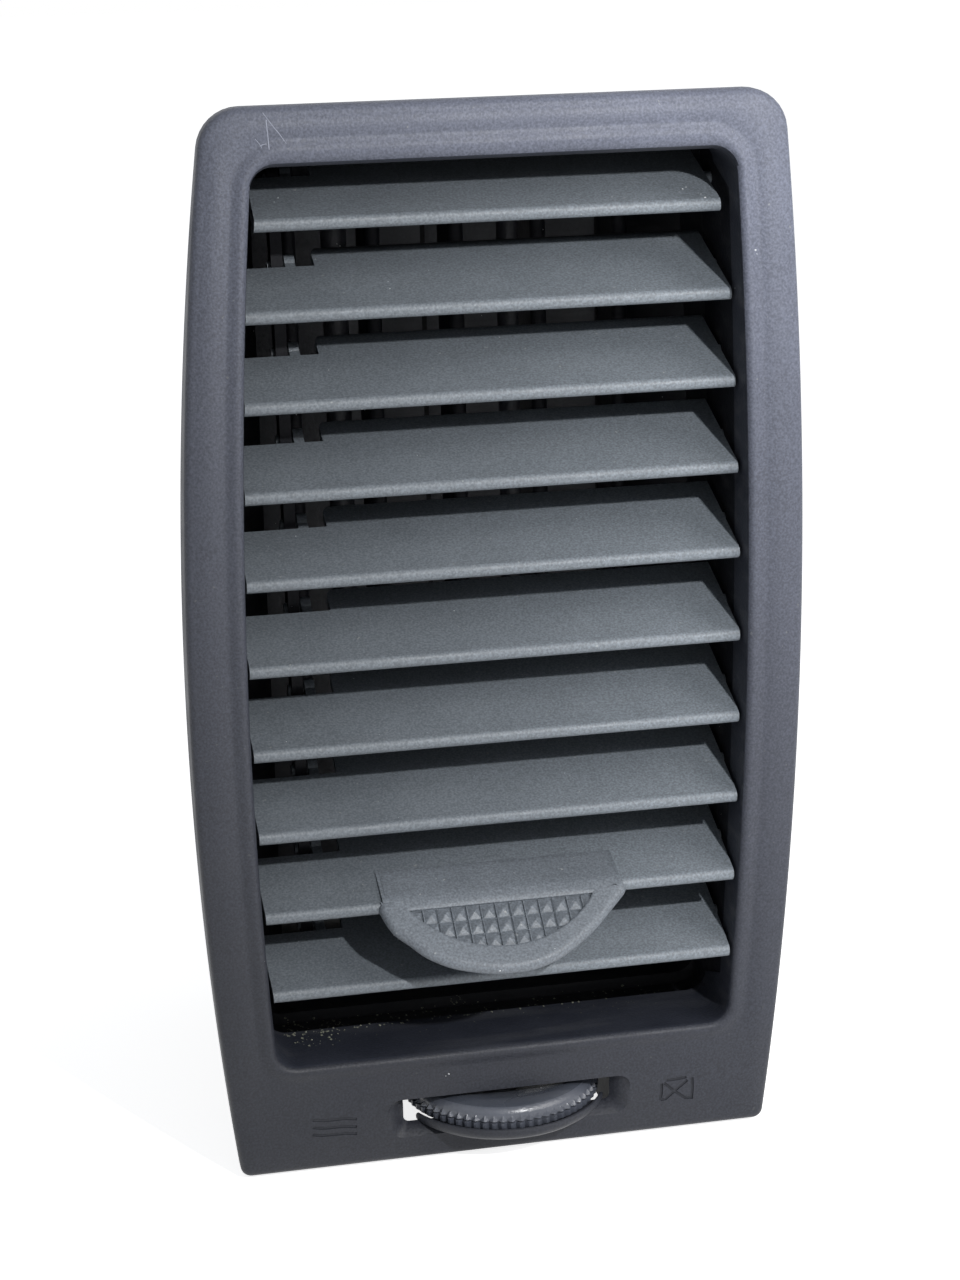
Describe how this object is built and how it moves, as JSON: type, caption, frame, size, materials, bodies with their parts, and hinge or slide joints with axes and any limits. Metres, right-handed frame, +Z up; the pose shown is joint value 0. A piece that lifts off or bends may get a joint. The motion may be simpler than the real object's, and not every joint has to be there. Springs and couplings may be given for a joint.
{
  "type": "vehicle air vent",
  "caption": "Upright dashboard air vent with a bulging bezel, linked tilting louvers, a half-moon finger tab, steering vanes, a thumbwheel and a pair of damper blades.",
  "frame": {"origin": "middle of the bezel's height and width, in the plane where the rear edge of the bezel seats on the dashboard", "axes": "+X to the viewer's right, +Y rearward along the air duct, +Z up; the front faces -Y"},
  "size_m": [0.0978, 0.0926, 0.172],
  "materials": {
    "bezel_plastic": "fine moulded grain, satin",
    "housing_plastic": "plain moulded, matt",
    "rail_plastic": "plain moulded, matt",
    "louver_plastic": "fine moulded grain, satin",
    "tab_plastic": "satin, with a knurled grip pad",
    "link_plastic": "plain moulded, self-lubricating",
    "vane_plastic": "plain moulded, matt",
    "wheel_plastic": "semi-gloss with fine teeth",
    "axle_steel": "bright drawn",
    "screw_steel": "zinc plated",
    "washer_rubber": "friction felt in oil",
    "damper_plastic": "plain moulded, matt",
    "foam": "closed-cell foam, matt",
    "clip_steel": "spring steel"
  },
  "bodies": {
    "frame": {"bezel": "bezel_plastic", "housing": "housing_plastic", "rail_left": "rail_plastic", "rail_right": "rail_plastic", "wheel_axle": "axle_steel", "wheel_bracket": "housing_plastic", "bracket_screws": "screw_steel", "wheel_washer": "washer_rubber", "spigot_seal": "foam", "frame_screws": "screw_steel", "retaining_clips": "clip_steel"},
    "louver_9": {"louver_9": "louver_plastic"},
    "finger_tab": {"finger_tab": "tab_plastic"},
    "louver_1": {"louver_1": "louver_plastic"},
    "louver_2": {"louver_2": "louver_plastic"},
    "louver_3": {"louver_3": "louver_plastic"},
    "louver_4": {"louver_4": "louver_plastic"},
    "louver_5": {"louver_5": "louver_plastic"},
    "louver_6": {"louver_6": "louver_plastic"},
    "louver_7": {"louver_7": "louver_plastic"},
    "louver_8": {"louver_8": "louver_plastic"},
    "louver_10": {"louver_10": "louver_plastic"},
    "louver_link": {"louver_link": "link_plastic"},
    "vane_1": {"vane_1": "vane_plastic"},
    "vane_2": {"vane_2": "vane_plastic"},
    "vane_3": {"vane_3": "vane_plastic"},
    "vane_4": {"vane_4": "vane_plastic"},
    "vane_5": {"vane_5": "vane_plastic"},
    "vane_link": {"vane_link": "link_plastic"},
    "thumbwheel": {"thumbwheel": "wheel_plastic"},
    "damper_link": {"damper_link": "link_plastic"},
    "damper_left": {"damper_left": "damper_plastic", "lever_left": "link_plastic", "seal_left": "foam"},
    "damper_right": {"damper_right": "damper_plastic", "lever_right": "link_plastic", "seal_right": "foam"}
  },
  "joints": [
    {"name": "louver_tilt", "type": "hinge", "parent": "frame", "child": "louver_9", "pos_m": [0, 0.00616, -0.03727], "axis": [1, 0, 0], "range_deg": [-30, 10]},
    {"name": "louver_1_tilt", "type": "hinge", "parent": "frame", "child": "louver_1", "pos_m": [0, 0.01194, 0.07113], "axis": [1, 0, 0], "range_deg": [-30, 10]},
    {"name": "louver_2_tilt", "type": "hinge", "parent": "frame", "child": "louver_2", "pos_m": [0, 0.01059, 0.05758], "axis": [1, 0, 0], "range_deg": [-30, 10]},
    {"name": "louver_3_tilt", "type": "hinge", "parent": "frame", "child": "louver_3", "pos_m": [0, 0.00942, 0.04403], "axis": [1, 0, 0], "range_deg": [-30, 10]},
    {"name": "louver_4_tilt", "type": "hinge", "parent": "frame", "child": "louver_4", "pos_m": [0, 0.00843, 0.03048], "axis": [1, 0, 0], "range_deg": [-30, 10]},
    {"name": "louver_5_tilt", "type": "hinge", "parent": "frame", "child": "louver_5", "pos_m": [0, 0.00762, 0.01693], "axis": [1, 0, 0], "range_deg": [-30, 10]},
    {"name": "louver_6_tilt", "type": "hinge", "parent": "frame", "child": "louver_6", "pos_m": [0, 0.00698, 0.00338], "axis": [1, 0, 0], "range_deg": [-30, 10]},
    {"name": "louver_7_tilt", "type": "hinge", "parent": "frame", "child": "louver_7", "pos_m": [0, 0.00653, -0.01017], "axis": [1, 0, 0], "range_deg": [-30, 10]},
    {"name": "louver_8_tilt", "type": "hinge", "parent": "frame", "child": "louver_8", "pos_m": [0, 0.00625, -0.02372], "axis": [1, 0, 0], "range_deg": [-30, 10]},
    {"name": "louver_10_tilt", "type": "hinge", "parent": "frame", "child": "louver_10", "pos_m": [0, 0.00624, -0.05082], "axis": [1, 0, 0], "range_deg": [-30, 10]},
    {"name": "louver_link_swing", "type": "hinge", "parent": "louver_9", "child": "louver_link", "pos_m": [-0.03, 0.01226, -0.03504], "axis": [1, 0, 0], "range_deg": [-10, 30]},
    {"name": "tab_slide", "type": "slide", "parent": "louver_9", "child": "finger_tab", "axis": [1, 0, 0], "range_m": [-0.002, 0.002]},
    {"name": "vane_1_turn", "type": "hinge", "parent": "frame", "child": "vane_1", "pos_m": [-0.027, 0.025, 0], "axis": [0, 0, 1], "range_deg": [-19.7, 19.7]},
    {"name": "vane_2_turn", "type": "hinge", "parent": "frame", "child": "vane_2", "pos_m": [-0.0135, 0.025, 0], "axis": [0, 0, 1], "range_deg": [-19.7, 19.7]},
    {"name": "vane_3_turn", "type": "hinge", "parent": "frame", "child": "vane_3", "pos_m": [0, 0.025, 0], "axis": [0, 0, 1], "range_deg": [-19.7, 19.7]},
    {"name": "vane_4_turn", "type": "hinge", "parent": "frame", "child": "vane_4", "pos_m": [0.0135, 0.025, 0], "axis": [0, 0, 1], "range_deg": [-19.7, 19.7]},
    {"name": "vane_5_turn", "type": "hinge", "parent": "frame", "child": "vane_5", "pos_m": [0.027, 0.025, 0], "axis": [0, 0, 1], "range_deg": [-19.7, 19.7]},
    {"name": "vane_link_swing", "type": "hinge", "parent": "vane_3", "child": "vane_link", "pos_m": [0, 0.034, -0.064], "axis": [0, 0, 1], "range_deg": [-19.7, 19.7]},
    {"name": "wheel_turn", "type": "hinge", "parent": "frame", "child": "thumbwheel", "pos_m": [0.0012, 0.007, -0.077], "axis": [0, 0, 1], "range_deg": [-80, 0]},
    {"name": "damper_link_swing", "type": "hinge", "parent": "thumbwheel", "child": "damper_link", "pos_m": [-0.0033, 0.01236, -0.074], "axis": [0, 0, 1], "range_deg": [0, 80]},
    {"name": "damper_left_turn", "type": "hinge", "parent": "frame", "child": "damper_left", "pos_m": [-0.0152, 0.0545, 0], "axis": [0, 0, 1], "range_deg": [-80, 0]},
    {"name": "damper_right_turn", "type": "hinge", "parent": "frame", "child": "damper_right", "pos_m": [0.0152, 0.0545, 0], "axis": [0, 0, 1], "range_deg": [-80, 0]}
  ],
  "couplings": [
    {"joint": "louver_1_tilt", "follows": "louver_tilt", "ratio": 1},
    {"joint": "louver_2_tilt", "follows": "louver_tilt", "ratio": 1},
    {"joint": "louver_3_tilt", "follows": "louver_tilt", "ratio": 1},
    {"joint": "louver_4_tilt", "follows": "louver_tilt", "ratio": 1},
    {"joint": "louver_5_tilt", "follows": "louver_tilt", "ratio": 1},
    {"joint": "louver_6_tilt", "follows": "louver_tilt", "ratio": 1},
    {"joint": "louver_7_tilt", "follows": "louver_tilt", "ratio": 1},
    {"joint": "louver_8_tilt", "follows": "louver_tilt", "ratio": 1},
    {"joint": "louver_10_tilt", "follows": "louver_tilt", "ratio": 1},
    {"joint": "louver_link_swing", "follows": "louver_tilt", "ratio": -1},
    {"joint": "vane_1_turn", "follows": "tab_slide", "rad_per_m": 171.11},
    {"joint": "vane_2_turn", "follows": "tab_slide", "rad_per_m": 171.11},
    {"joint": "vane_3_turn", "follows": "tab_slide", "rad_per_m": 171.11},
    {"joint": "vane_4_turn", "follows": "tab_slide", "rad_per_m": 171.11},
    {"joint": "vane_5_turn", "follows": "tab_slide", "rad_per_m": 171.11},
    {"joint": "vane_link_swing", "follows": "tab_slide", "rad_per_m": -171.11},
    {"joint": "damper_link_swing", "follows": "wheel_turn", "ratio": -1},
    {"joint": "damper_left_turn", "follows": "wheel_turn", "ratio": 1},
    {"joint": "damper_right_turn", "follows": "wheel_turn", "ratio": 1}
  ]
}
